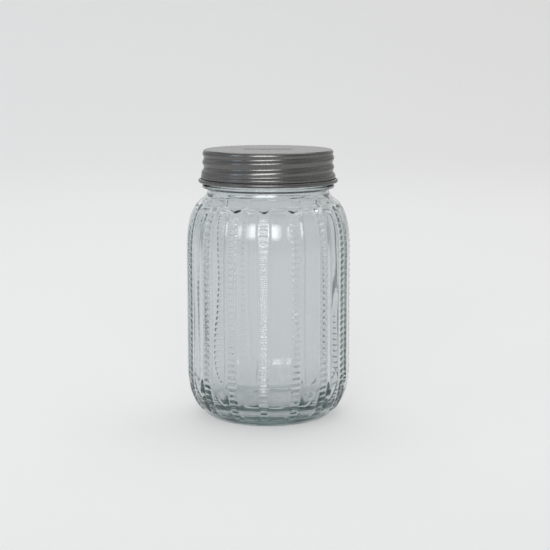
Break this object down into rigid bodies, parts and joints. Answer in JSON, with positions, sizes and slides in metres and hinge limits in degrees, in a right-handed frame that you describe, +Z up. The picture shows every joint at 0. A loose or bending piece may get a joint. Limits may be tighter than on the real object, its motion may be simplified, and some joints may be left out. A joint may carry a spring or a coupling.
{
  "type": "coin bank jar",
  "caption": "Clear ribbed glass jar with a round shoulder, and a threaded metal lid with a coin slot, for saving coins.",
  "frame": {"origin": "on the jar's axis, in the plane that its base ring rests on", "axes": "+Z up along the jar's axis, -Y the front, +X to the right seen from the front"},
  "size_m": [0.1068, 0.1068, 0.175],
  "materials": {
    "clear_glass": "clear pressed glass with a faint grey-green tint, glossy, slightly wavy, with ladder ribs",
    "pewter_metal": "dull pewter-grey satin metal, fine horizontal brushing on the wall",
    "sealing_liner": "matt off-white soft sealing compound"
  },
  "bodies": {
    "jar": {"glass_jar": "clear_glass"},
    "seal": {"lid_liner": "sealing_liner"},
    "lid": {"screw_lid": "pewter_metal"}
  },
  "joints": [
    {"name": "lid_lift", "type": "slide", "parent": "jar", "child": "seal", "axis": [0, 0, 1], "range_m": [0, 0.0241]},
    {"name": "lid_turn", "type": "hinge", "parent": "seal", "child": "lid", "pos_m": [0, 0, 0.175], "axis": [0, 0, 1], "range_deg": [0, 1440]}
  ],
  "couplings": [
    {"joint": "lid_lift", "follows": "lid_turn", "m_per_rad": 0.00095493}
  ]
}
